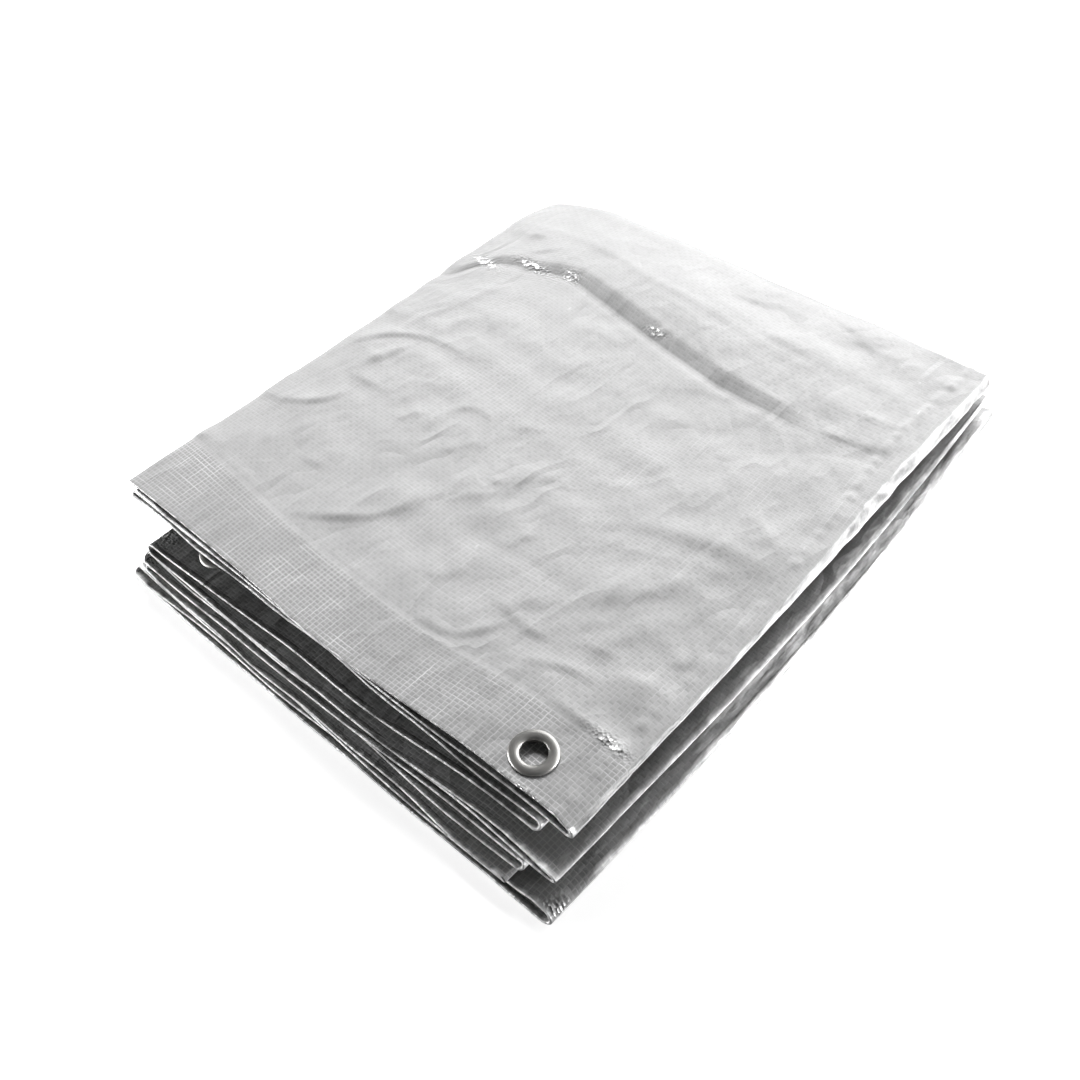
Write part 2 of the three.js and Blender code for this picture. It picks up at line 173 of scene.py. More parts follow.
# Where the film is crumpled and sparkles: layer, x and y of the middle, reach along x and y
CRUMPLES = (
    (TOP, -12, 288, 14, 5), (TOP, 18, 303, 18, 4), (TOP, 42, 309, 8, 5), (TOP, 275, 66, 10, 3),
    (TOP, 118, 297, 8, 3), (7.5, 12, 20, 5, 8), (5.5, 8, 10, 5, 6), (0.5, 296, 7, 6, 4),
    (TOP, 266, 25.5, 16, 1.3),
)

# Layer 1 swells before it turns down to the floor
SWELL = {"height": 2.6, "x": 287, "half_width": 6.5}
# How loosely the lower layers lie, how far apart those of the top packet do, and how the layers under the
# top eyelet bulge up to it and are pressed down by its washer
LOOSENESS, PLY_GAP = 0.35, 1.5
UNDER_EYELET = {"bulge": 3.5, "pressed": 1.5, "reach": 24}

# The turns at the right with a painted highlight: turn, y where that starts and where it is full, paleness
# there
PAINTED_HIGHLIGHT_TURNS = ((0.5, 70, 140, 1.0), (6.5, 180, 340, 0.75), (TOP - 0.5, 110, 240, 0.54))
# How pale the painted highlight on such a turn is before that, and over which x the layer above it takes it
# as well
PAINTED_HIGHLIGHT_LEAST, PAINTED_HIGHLIGHT_LEAD = 0.26, (283, 291)
# Where a turn has a painted highlight in spots: turn, y of the middle, reach along y, paleness
PAINTED_HIGHLIGHT_SPOTS = ((6.5, 66, 14, 0.5), (6.5, 112, 12, 0.45), (6.5, 176, 22, 0.5), (0.5, 30, 10, 0.45),
              (7.5, 22, 30, 0.6), (5.5, 12, 24, 0.6), (3.5, 8, 20, 0.6), (1.5, 6, 16, 0.6))

# The roll of the top layer over the back edge, which fades out towards the right corner
ROLL = {"start": 376.0, "radius": 24.0, "length": 34.0, "fade_from": 170.0, "fade_to": 270.0}
TOP_CORNER_RADIUS = 48.0

# The eyelets: layer, x and y of the centre
EYELETS = {"top": (TOP, 255.5, 41.0), "lower": (8, 47.5, 31.0)}
# Radius of the hole in the cloth for an eyelet's barrel, and how far up and down the cut reaches
CUT_RADIUS, CUT_REACH = 7.6, 2.5

# What the camera is aimed at, on the pack's floor
CAMERA_TARGET = (151.77, 155.84, 0)
# How far the floor reaches from the middle, in metres
STAGE_REACH = 6.0


def linear(hex_colour):
    """An sRGB hex colour as linear red, green and blue."""
    channels = [int(hex_colour[i:i + 2], 16) / 255 for i in (1, 3, 5)]
    return tuple(c / 12.92 if c <= 0.04045 else ((c + 0.055) / 1.055) ** 2.4 for c in channels)


def colour(name, description, hex_colour):
    return FloatVectorProperty(name=name, description=description, subtype="COLOR", size=3,
                               min=0, max=1, default=linear(hex_colour))


def in_millimetres(name, description, millimetres):
    return FloatProperty(name=name, description=description, default=millimetres * MM, unit="LENGTH")


def in_degrees(name, description, degrees):
    return FloatProperty(name=name, description=description, default=math.radians(degrees), subtype="ANGLE")


def in_watts(name, description, watts):
    return FloatProperty(name=name, description=description, default=watts, unit="POWER")


class TarpSheetSettings(bpy.types.PropertyGroup):
    """Sizes and colours of the folded sheet."""

    thickness: in_millimetres("Thickness", "Thickness of one layer of the sheet", 0.9)
    hem_thickness: in_millimetres("Hem thickness", "Thickness of the doubled hem", 1.5)
    warp_pitch: in_millimetres("Warp pitch", "Spacing of the tapes that run front to back", 2.5)
    weft_pitch: in_millimetres("Weft pitch", "Spacing of the tapes that run side to side", 2.3)
    silver: colour("Silver", "Colour of the pigmented film", "#868686")
    # Also the colour of the painted highlights at the hems' edges, the crests and the turns, and of the
    # painted glints
    tape_edge_and_highlight_white: colour("Tape edge", "Colour where the tapes' edges show through the film", "#e6e6e6")
    wander: in_millimetres("Wander", "How far the front edges stray from straight", 1.1)


class EyeletSettings(bpy.types.PropertyGroup):
    """Sizes and colour of the eyelets."""

    rim_radius: in_millimetres("Rim radius", "Outer radius of the rim", 11)
    hole_radius: in_millimetres("Hole radius", "Radius of the throat", 6)
    rim_height: in_millimetres("Rim height", "Height of the rolled rim above the hem", 1.6)
    sides: IntProperty(name="Sides", description="Faces around the ring", default=96, min=12)
    metal: colour("Metal", "Colour of the bare aluminium", "#bdbcb9")


class StageSettings(bpy.types.PropertyGroup):
    """The camera, the floor and the lights."""

    azimuth: in_degrees("Azimuth", "Direction of the camera, from the front to the right", 45.87)
    elevation: in_degrees("Elevation", "Height of the camera above the floor's plane", 47)
    roll: in_degrees("Roll", "Tilt of the camera about its own axis", -5)
    distance: in_millimetres("Distance", "Distance from the camera to its target", 585.45)
    # The focal length is 1100 pixels of a frame of 1080, on a sensor 36 mm wide
    lens: FloatProperty(name="Lens", description="Focal length of the camera in millimetres",
                        default=36 * 1100 / 1080, unit="CAMERA")
    top_power: in_watts("Top power", "Power of the soft light above and behind the pack, from the left", 124)
    back_power: in_watts("Back power", "Power of the wide light behind the pack", 26)
    side_power: in_watts("Side power", "Power of the low light that faces the right folds", 5)
    front_power: in_watts("Front power", "Power of the low light that faces the hems, from the left", 24)
    floor: colour("Floor", "Colour of the light table that the pack lies on", "#c0c0c0")
    glow: FloatProperty(name="Glow", description="How bright the table is lit from below",
                        default=0.78, min=0)
    sky: colour("Surroundings", "Colour of the surroundings", "#464646")


# Shapes

def along(table, x):
    """A smooth curve through a short table of x and value."""
    xs, ys = np.array(table, dtype=float).T
    i = np.clip(np.searchsorted(xs, x) - 1, 0, len(xs) - 2)
    slopes = np.gradient(ys, xs)
    step = xs[i + 1] - xs[i]
    t = np.clip((x - xs[i]) / step, 0, 1)
    a, b = 2 * t**3 - 3 * t**2 + 1, t**3 - 2 * t**2 + t
    c, d = -2 * t**3 + 3 * t**2, t**3 - t**2
    return a * ys[i] + b * step * slopes[i] + c * ys[i + 1] + d * step * slopes[i + 1]


def ease(x, low, high):
    """Rises smoothly from 0 at low to 1 at high."""
    t = np.clip((x - low) / (high - low), 0, 1)
    return t * t * (3 - 2 * t)


def mix(a, b, t):
    """Goes from a to b by share t."""
    return a + (b - a) * t


def hump(x, half_width):
    """A soft bump of height 1 round 0."""
    return np.exp(-(x / half_width) ** 2)


def waves(x, y, seed, count, shortest, longest):
    """Gentle unevenness between about -1 and 1: a seeded sum of waves in all directions."""
    rng = np.random.default_rng(seed)
    total = np.zeros(np.broadcast(x, y).shape)
    for _ in range(count):
        length = shortest * (longest / shortest) ** rng.random()
        turn, phase = rng.random(2) * 2 * math.pi
        total += np.sin((x * math.cos(turn) + y * math.sin(turn)) * 2 * math.pi / length + phase)
    return total / math.sqrt(count)


def bowed(end, d):
    """Where a fold or free edge lies at share d of the depth."""
    return mix(end[0], end[1], d) + end[2] * np.sin(math.pi * d)


def end_of(layer, side):
    """The row of the fold, or free edge, at one side of a layer."""
    if side == "right":
        return RIGHT_FOLDS[layer // 2]
    if layer == 0:
        return LOWEST_LEFT_END
    if layer == TOP:
        return TOP_LEFT_END
    return LEFT_FOLDS[(layer - 1) // 2]


def base_height(layer, s, d):
    """Height of a layer before its creases, at share s of its width and share d of its depth."""
    row = LAYERS[layer]
    late = s ** LATE_DROP.get(layer, 1.0)
    height = mix(mix(row[3], row[4], late), mix(row[5], row[6], late), d)
    if layer == TOP:
        near_front = 1 - ease(d, SHOULDER["full_to_depth"], SHOULDER["gone_at_depth"])
        near_fold = np.maximum(s - SHOULDER["from_share"], 0) / (1 - SHOULDER["from_share"])
        height = height - SHOULDER["drop"] * near_fold ** 2 * near_front
    return height


def fold_depth(lower, d):
    """How deep the turn above a layer is: round enough for the sheet where the two layers lie close."""
    side = 1.0 if lower % 2 == 0 else 0.0
    half = (base_height(lower + 1, side, d) - base_height(lower, side, d)) / 2
    return np.minimum(end_of(lower, "right" if side else "left")[3], half * half / TIGHTEST_TURN)


def run_of(layer, d):
    """Where the flat run of a layer starts at the left and ends at the right."""
    left, right = bowed(end_of(layer, "left"), d), bowed(end_of(layer, "right"), d)
    if layer not in (0, TOP):
        left = left + fold_depth(layer - 1 + layer % 2, d)
    return left, right - fold_depth(layer - layer % 2, d)


def crease_height(x, y):
    """What the listed creases add up to: each is steep to the front and eases off behind."""
    total = np.zeros_like(x)
    wobble = CREASE_WANDER * waves(x, y, 5, 10, 25, 70)
    for x0, y0, x1, y1, bend, half_width, height in CREASES:
        length = math.hypot(x1 - x0, y1 - y0)
        ux, uy = (x1 - x0) / length, (y1 - y0) / length
        t = ((x - x0) * ux + (y - y0) * uy) / length
        off = (y - y0) * ux - (x - x0) * uy - 4 * bend * t * (1 - t) + wobble
        # Behind is away from the front right corner of the pack
        off = off if ux + uy > 0 else -off
        fade = ease(t, -0.25, 0.25) * (1 - ease(t, 0.75, 1.25))
        fade = fade * (0.8 + 0.2 * np.sin(9 * t + x0))
        # A ridge that starts with a step, and a shallow trough before it, all measured in half widths
        step = ease(off, -0.55 * half_width, 0.25 * half_width)
        ridge = step * np.exp(-np.maximum(off, 0) / (2.4 * half_width))
        trough = 0.3 * hump(off + 2.2 * half_width, 1.3 * half_width)
        total += CREASE_SHARE * height * fade * (ridge - trough)
    return total


def fine_creases(x, y):
    """Small creases all over the top layer, seeded: short soft ridges and troughs in all directions."""
    rng = np.random.default_rng(11)
    total = np.zeros_like(x)
    for _ in range(FINE_CREASES["count"]):
        at_x, at_y = rng.uniform(*FINE_CREASES["x"]), rng.uniform(*FINE_CREASES["y"])
        turn = rng.uniform(0, math.pi)
        length, half_width = rng.uniform(*FINE_CREASES["length"]), rng.uniform(*FINE_CREASES["half_width"])
        height = rng.uniform(*FINE_CREASES["height"]) * rng.choice((-1, 1))
        bend = rng.uniform(*FINE_CREASES["bend"])
        t = (x - at_x) * math.cos(turn) + (y - at_y) * math.sin(turn)
        off = (y - at_y) * math.cos(turn) - (x - at_x) * math.sin(turn) - bend * t * t
        steep = off / half_width * np.where(off > 0, 1.0, FINE_CREASES["steeper"])
        total += height * hump(t, length / 2) / np.cosh(np.clip(steep, -30, 30))
    return total


def top_relief(x, y):
    """Height that the folds and creases of the top layer add at a place."""
    rise = along(PLEAT_RISE, x)
    past_foot = y - along(PLEAT_FOOT, x)
    riser = np.clip(past_foot / PLEAT["run"], 0, 1)
    total = rise * riser * (1 - PLEAT["lost"] * ease(past_foot, *PLEAT["lost_over"]))
    total -= PLEAT["groove"] * rise * hump(past_foot - PLEAT["groove_at"], PLEAT["groove_width"])
    past_ridge = y - along(RIDGE_LINE, x)
    crest = mix(hump(past_ridge, RIDGE["narrow"]), hump(past_ridge, RIDGE["broad"]), RIDGE["broad_share"])
    total += along(RIDGE_RISE, x) * crest
    total -= SAG["depth"] * hump(np.hypot(x - SAG["x"], y - SAG["y"]), SAG["reach"])
    past_hem = y - along(HEM_LINE, x)
    total -= HEM["step"] * ease(past_hem, -HEM["half_run"], HEM["half_run"])
    puckers = 0.6 + 0.4 * np.sin(x / HEM["pucker"])
    total += HEM["seam"] * puckers * hump(past_hem - HEM["seam_at"], HEM["seam_width"])
    ring = np.hypot(x - IMPRINT[0], y - IMPRINT[1]) - IMPRINT[2]
    total += IMPRINT[4] * hump(ring, IMPRINT[3])
    limp = ease(past_hem, *HEM["limp"])
    total += crease_height(x, y) + limp * fine_creases(x, y)
    pinch = 1 + PINCH["uneven"] * waves(0 * x, y, 7, 8, 7, 40)
    total += PINCH["rise"] * pinch * hump(x - along(PINCH_LINE, y), PINCH["half_width"])
    return total + mix(*UNEVEN, limp) * waves(x, y, 3, 22, 24, 75)


def top_height(x, y):
    """Height of the top layer's middle surface, before it rolls over the back."""
    d = np.clip((y - TOP_FRONT) / (TOP_BACK - TOP_FRONT), 0, 1)
    left, right = run_of(TOP, d)
    s = np.clip((x - left) / (right - left), 0, 1)
    droop = DROOP["depth"] * np.exp(-np.maximum(x - left, 0) / DROOP["reach"])
    return base_height(TOP, s, d) + top_relief(x, y) * (1 - ease(s, 0.97, 1.0)) - droop


def roll_over(x, y, z):
    """Bends the top layer down over the back edge."""
    bend = np.maximum(1 - ease(x, ROLL["fade_from"], ROLL["fade_to"]), 1e-3)
    over = np.maximum(y - ROLL["start"], 0)
    angle = over / ROLL["radius"] * bend
    y = np.minimum(y, ROLL["start"]) + ROLL["radius"] * np.sin(angle) / bend
    return y, z - ROLL["radius"] * (1 - np.cos(angle)) / bend


def round_corner(x, y):
    """Draws the back left corner of the top layer in to a quarter disc."""
    a = np.clip((TOP_LEFT_END[1] + TOP_CORNER_RADIUS - x) / TOP_CORNER_RADIUS, 0, 1.2)
    b = np.clip((y - ROLL["start"] - ROLL["radius"] + TOP_CORNER_RADIUS) / TOP_CORNER_RADIUS, 0, 1.2)
    x = x + TOP_CORNER_RADIUS * a * (1 - np.sqrt(np.maximum(1 - b * b / 2, 0)))
    return x, y - TOP_CORNER_RADIUS * b * (1 - np.sqrt(np.maximum(1 - a * a / 2, 0)))


def top_layer(s, e):
    """Points of the top layer. e is the distance from its front edge, measured along the cloth."""
    x = mix(*run_of(TOP, np.clip(e / LAYER_DEPTH, 0, 1)), s)
    front = along(FRONT_EDGES[TOP], x)
    y = front + e
    # Two of the cross rows follow the hem line and the pleat's foot, and draw their neighbours along
    for line, row, reach in ((HEM_LINE, 37, 24), (PLEAT_FOOT, 276, 55)):
        y = y + hump(e - row, reach) * (along(line, x) - front - row)
    # Towards the back the rows spread out to where the cloth ends, further on where it rolls over
    spare = mix(ROLL["start"] + ROLL["length"], TOP_BACK, ease(s, 0.45, 0.9)) - (front + LAYER_DEPTH)
    y = y + spare * ease(e, 320, LAYER_DEPTH)
    z = top_height(x, y)
    y, z = roll_over(x, y, z)
    x, y = round_corner(x, y)
    return np.stack([x, y, z], axis=-1)


def lower_layer(layer, s, d, wander):
    """Points of any other layer, at share s of its width and share d of its depth."""
    x = mix(*run_of(layer, d), s)
    row = LAYERS[layer]
    stray = wander * waves(x, 0 * x, 20 + layer, 5, 60, 260)
    if layer in FRONT_EDGES:
        front = along(FRONT_EDGES[layer], x) + 0.3 * stray
    else:
        front = mix(row[0], row[1], s) + stray
    y = mix(front, row[2], d)
    z = base_height(layer, s, d)
    if layer:
        free = 4 * s * (1 - s)
        z = z + LOOSENESS * free * waves(x, y, 40 + layer // 2, 6, 50, 200)
    if layer == 1:
        z = z + SWELL["height"] * hump(x - SWELL["x"], SWELL["half_width"])
    near_eyelet = hump(np.hypot(x - EYELETS["top"][1], y - EYELETS["top"][2]), UNDER_EYELET["reach"])
    if layer == TOP - 1:
        z = z + UNDER_EYELET["bulge"] * near_eyelet
    if layer in LATE_DROP:
        under = top_height(x, y) - PLY_GAP * (TOP - layer) - UNDER_EYELET["pressed"] * near_eyelet
        z = np.where(y < ROLL["start"], np.minimum(z, under), z)
    return np.stack([x, y, z], axis=-1)


class Section:
    """The folded sheet's middle surface, strip by strip along its back-and-forth section."""

    def __init__(self, wander, depth_shares, top_depths):
        self.wander, self.depth_shares, self.top_depths = wander, depth_shares, top_depths

    def layer(self, layer, shares, fine):
        """Points of a layer at shares of its width, one row for each."""
        s, d = np.meshgrid(shares, self.top_depths if fine else self.depth_shares, indexing="ij")
        if layer == TOP:
            return top_layer(s, d)
        return lower_layer(layer, s, d / LAYER_DEPTH if fine else d, self.wander)

    def fold(self, lower, steps, fine):
        """The turn from one layer to the next, without the two end rows."""
        side = 1.0 if lower % 2 == 0 else 0.0
        low = self.layer(lower, [side], fine)
        high = self.layer(lower + 1, [side], fine)
        d = np.clip(self.top_depths / LAYER_DEPTH, 0, 1) if fine else self.depth_shares
        depth = fold_depth(lower, d) * (1 if side else -1)
        t = (np.arange(1, steps) / steps)[:, None]
        turn = math.pi * t
        points = mix(low, high, t[..., None])
        if fine:
            y = low[..., 1]
            depth = depth * (1 + FOLD_DENTS * waves(0 * y, y, 50 + lower, 8, 10, 60))
        points[..., 0] += depth * np.sin(turn)
        rise = ((1 - np.cos(turn)) / 2) ** CREST_LOWERING.get(lower, 1.0)
        points[..., 2] = mix(low[..., 2], high[..., 2], rise)
        return points


def rounded_half(distance, half):
    """Half thickness near a free edge, rounded off over the last half thickness."""
    inside = np.clip(distance / half, 0.02, 1)
    return half * np.sqrt(1 - (1 - inside) ** 2)


def depth_rows():
    """Distances from the front edge where the cross rows lie: close at the edge, the hem and the pleat."""
    edge = [0.0, 0.06, 0.18, 0.36, 0.6, 1.0]
    coarse = edge + list(np.linspace(3, 37, 8)) + list(np.linspace(48, 262, 7))
    coarse += [270, 282, 300, 325, 350, 368, 378, 383.8, 384.4, 384.8, LAYER_DEPTH]
    # The top layer takes each of these steps in several smaller ones
    pleat_low, pleat_high = 269, 283
    fine, where = [coarse[0]], [0]
    for low, high in zip(coarse, coarse[1:]):
        size = 1.0 if pleat_low < (low + high) / 2 < pleat_high else 2.0
        parts = max(1, math.ceil((high - low) / size))
        fine += list(np.linspace(low, high, parts + 1)[1:])
        where.append(len(fine) - 1)
    return np.array(coarse), np.array(fine), where


def grid_normals(points):
    """Which way the cloth faces at each point of a grid."""
    du = np.gradient(points, axis=0)
    dv = np.gradient(points, axis=1)
    normals = np.cross(du, dv)
    return normals / np.maximum(np.linalg.norm(normals, axis=-1, keepdims=True), 1e-9)


def path_lengths(points):
    """Length of cloth from the first row of points to each row."""
    steps = np.linalg.norm(np.diff(points, axis=0), axis=-1).mean(axis=1)
    return np.concatenate([[0], np.cumsum(steps)])


def sheet_columns(section, fine):
    """All rows of points along the section, the lower layers in coarse steps or the top in fine ones.

    With them come the layer of each row, and how near it lies to the crest of a turn.
    """
    fold_steps, top_columns = 12 if fine else 8, 152
    strips, layers, crests = [], [], []

    def add(points, layer, crest):
        strips.append(points)
        layers.extend([layer] * len(points))
        crests.extend(np.broadcast_to(crest, len(points)))

    def add_fold(lower):
        turn = math.pi * np.arange(1, fold_steps) / fold_steps
        add(section.fold(lower, fold_steps, fine), lower + 0.5, np.sin(turn) ** 12)

    if fine:
        add(section.layer(TOP - 1, [1.0], True), TOP - 1, 0.0)
        add_fold(TOP - 1)
        add(section.layer(TOP, np.linspace(1, 0, top_columns), True), TOP, 0.0)
    else:
        for layer in range(TOP):
            shares = [*np.linspace(0, 0.95, 20), 0.975, 1.0]
            if layer == EYELETS["lower"][0]:
                shares = sorted(set(np.round([*shares, *np.linspace(0.06, 0.22, 21)], 4)))
            shares = np.array(shares if layer % 2 == 0 else shares[::-1])
            # The last step before the top fold is left to the band that joins the two grids
            add(section.layer(layer, shares[:-1] if layer == TOP - 1 else shares, False), layer, 0.0)
            if layer < TOP - 1:
                add_fold(layer)
    return np.concatenate(strips), np.array(layers), np.array(crests)


def painted_highlights_and_crumples(points, layers, crests, depths):
    """How much painted highlight each point gets at edges, crests and turns, and how crumpled its film is."""
    x, y = points[..., 0], points[..., 1]
    top = (layers > TOP - 0.4)[:, None]
    # Painted highlight along the front edges of the hems, narrower on the top layer
    rim = 1 - np.where(top, ease(depths, 0.2, 0.6), ease(depths, 0.5, 2.0))
    uneven = 0.76 + 0.38 * waves(x, 5 * layers[:, None] + 0 * y, 71, 9, 5, 60)
    # Painted highlights on the turns at the right, stronger towards the back, with the layers that lead into
    # them
    painted_turn_highlight = np.zeros_like(x)
    for turn, start, full, paleness in PAINTED_HIGHLIGHT_TURNS:
        at_turn = (layers == turn)[:, None] + (layers == turn + 0.5)[:, None] * ease(x, *PAINTED_HIGHLIGHT_LEAD)
        painted_turn_highlight = np.maximum(painted_turn_highlight, np.where(top, 0, at_turn) * mix(PAINTED_HIGHLIGHT_LEAST, paleness, ease(y, start, full)))
    for turn, at_y, reach, paleness in PAINTED_HIGHLIGHT_SPOTS:
        painted_turn_highlight = np.maximum(painted_turn_highlight, paleness * hump(y - at_y, reach) * (layers == turn)[:, None])
    # The painted highlights of the hems' edges, the crests of the turns and the turns, made uneven
    painted_highlight = np.clip(np.maximum(np.maximum(rim, crests[:, None]), painted_turn_highlight) * uneven, 0, 1)
    crumple = np.zeros_like(x)
    for layer, at_x, at_y, reach_x, reach_y in CRUMPLES:
        spot = hump(x - at_x, reach_x) * hump(y - at_y, reach_y)
        crumple = np.maximum(crumple, spot * (np.abs(layers - layer) < 0.6)[:, None])
    return np.stack([painted_highlight, crumple], axis=-1)


class SheetMesh:
    """Collects the two faces of the sheet, its edges and its eyelet holes into one closed mesh."""

    def __init__(self):
        self.points, self.faces, self.maps = [], [], {"weave": [], "bend": []}

    def add_points(self, points, maps):
        """Adds a grid of points with their maps, and gives their numbers."""
        first = len(self.points)
        self.points += points.reshape(-1, 3).tolist()
        for name, values in maps.items():
            self.maps[name] += values.reshape(-1, 2).tolist()
        return first + np.arange(points.shape[0] * points.shape[1]).reshape(points.shape[:2])

    def both_sides(self, middle, half, maps):
        """Adds the two faces of a grid, each half a thickness from its middle surface."""
        normals = grid_normals(middle)
        upper = self.add_points(middle + normals * half[..., None], maps)
        under = self.add_points(middle - normals * half[..., None], maps)
        return upper, under

    def skin(self, upper, under, hole):
        """Faces of both sides; cells whose centre lies in the hole are left out and walled."""
        columns, rows = upper.shape
        kept = ~hole
        for i in range(columns - 1):
            for j in range(rows - 1):
                if kept[i, j]:
                    a = (i, j), (i + 1, j), (i + 1, j + 1), (i, j + 1)
                    self.faces.append([upper[c] for c in a])
                    self.faces.append([under[c] for c in reversed(a)])
        for i, j in zip(*np.nonzero(hole)):
            sides = (((i, j), (i + 1, j), (i, j - 1)), ((i + 1, j), (i + 1, j + 1), (i + 1, j)),
                     ((i + 1, j + 1), (i, j + 1), (i, j + 1)), ((i, j + 1), (i, j), (i - 1, j)))
            for p, q, beyond in sides:
                if kept[beyond]:
                    self.faces.append([upper[p], upper[q], under[q], under[p]])

    def edge(self, upper_line, under_line, flip):
        """Closes the sheet between the edges of its two faces."""
        for k in range(len(upper_line) - 1):
            face = [upper_line[k], under_line[k], under_line[k + 1], upper_line[k + 1]]
            self.faces.append(face[::-1] if flip else face)


def hole_cells(points, eyelet):
    """Which cells of a grid lie inside an eyelet's barrel."""
    layer, x, y = EYELETS[eyelet]
    centre = (points[:-1, :-1] + points[1:, 1:]) / 2
    near = np.hypot(centre[..., 0] - x, centre[..., 1] - y) < CUT_RADIUS
    return near & (np.abs(centre[..., 2] - eyelet_seat(layer, x, y)[0].z) < CUT_REACH)


def half_thickness(depths, columns, settings, free_end):
    """Half thickness over a grid: doubled at the hem, rounded off at the front, back and free ends."""
    sheet, hem = settings.thickness / MM / 2, settings.hem_thickness / MM / 2
    hem_ends, thin_share = (34, 39), 0.2
    half = mix(hem, sheet, ease(depths, *hem_ends))
    half = np.minimum(rounded_half(depths, half), rounded_half(depths[-1] - depths, half))
    grid = np.repeat(half[None, :], columns, axis=0)
    grid[free_end] *= thin_share
    return grid


def sheet_maps(points, layers, crests, path, depths):
    """Where each point lies on the flat cloth, in metres, and its painted highlights and crumples."""
    flat = np.stack(np.meshgrid(path, depths, indexing="ij"), axis=-1) * MM
    return {"weave": flat, "bend": painted_highlights_and_crumples(points, layers, crests, depths)}


def build_sheet(settings):
    """The whole sheet: the lower layers in a coarse grid and the top one in a fine grid, joined by a band."""
    coarse, fine, where = depth_rows()
    section = Section(settings.wander / MM, coarse / LAYER_DEPTH, fine)
    low, low_layers, low_crests = sheet_columns(section, False)
    top, top_layers, top_crests = sheet_columns(section, True)
    # Cloth between the two grids
    band_width = 12
    low_path = path_lengths(low)
    top_path = low_path[-1] + band_width + path_lengths(top)
    mesh = SheetMesh()
    low_upper, low_under = mesh.both_sides(low, half_thickness(coarse, len(low), settings, 0),
                                           sheet_maps(low, low_layers, low_crests, low_path, coarse))
    top_upper, top_under = mesh.both_sides(top, half_thickness(fine, len(top), settings, -1),
                                           sheet_maps(top, top_layers, top_crests, top_path, fine))
    mesh.skin(low_upper, low_under, hole_cells(low, "lower"))
    mesh.skin(top_upper, top_under, hole_cells(top, "top"))
    # The band that joins the coarse grid to the fine one, each coarse step to several fine ones
    for j in range(len(coarse) - 1):
        steps = range(where[j], where[j + 1] + 1)
        for lower, upper, flip in ((low_upper, top_upper, False), (low_under, top_under, True)):
            face = [lower[-1, j]] + [upper[0, f] for f in steps] + [lower[-1, j + 1]]
            mesh.faces.append(face[::-1] if flip else face)
    for j, flip in ((0, False), (-1, True)):
        mesh.edge(low_upper[:, j], low_under[:, j], flip)
        mesh.edge([low_upper[-1, j], top_upper[0, j]], [low_under[-1, j], top_under[0, j]], flip)
        mesh.edge(top_upper[:, j], top_under[:, j], flip)
    mesh.edge(low_upper[0], low_under[0], True)
    mesh.edge(top_upper[-1], top_under[-1], False)
    return mesh


def new_piece(name, points, faces, material, maps):
    """A smooth-shaded object from points in the pack's frame, in millimetres, with a value of each map."""
    mesh = bpy.data.meshes.new(name)
    placed = (np.array(points) + CORNER) * MM
    mesh.from_pydata(placed.tolist(), [], [[int(i) for i in face] for face in faces])
    mesh.validate()
    mesh.shade_smooth()
    mesh.materials.append(material)
    corners = np.empty(len(mesh.loops), dtype=np.int32)
    mesh.loops.foreach_get("vertex_index", corners)
    for map_name, values in maps.items():
        layer = mesh.uv_layers.new(name=map_name)
        layer.data.foreach_set("uv", np.array(values)[corners].ravel())
    piece = bpy.data.objects.new(name, mesh)
    bpy.context.scene.collection.objects.link(piece)
    return piece


# Materials

def add_node(tree, kind, inputs, **settings):
    """Adds a node with its settings, gives its inputs values or links, and returns its first live output."""
    node = tree.nodes.new(kind)
    for name, value in settings.items():
        setattr(node, name, value)
    for name, value in inputs.items():
        if isinstance(value, bpy.types.NodeSocket):
            tree.links.new(value, node.inputs[name])
        else:
            node.inputs[name].default_value = value
    return next((output for output in node.outputs if output.enabled), None)


def new_material(name):
    """An empty material, and its node tree."""
    material = bpy.data.materials.new(name)
    material.use_nodes = True
    material.node_tree.nodes.clear()
    return material, material.node_tree


MATH, RANGE, VECTOR = "ShaderNodeMath", "ShaderNodeMapRange", "ShaderNodeVectorMath"
NOISE, BUMP = "ShaderNodeTexNoise", "ShaderNodeBump"
# How strongly the tapes' edges show, how much darker the doubled hem is, and where it ends
WEAVE_CONTRAST, HEM_CONTRAST, HEM_SHADE = 0.09, 0.21, 0.16
HEM_END = (35.5 * MM, 37.0 * MM)
# Sizes of the film's patterns: streaks of the painted highlights, painted glints and crinkles, the facets it
# has set in and their turn, patches where the weave shows more or less, and clouds of the pigment
STREAK, GLINT, CRINKLE = (4 * MM, 14 * MM), 1.6 * MM, 9 * MM
FACET, FACET_TURN = (34 * MM, 70 * MM), 0.6
PATCH, CLOUD = 50 * MM, 30 * MM
# How far a pale stretch of a tape runs
STRETCH = 30 * MM


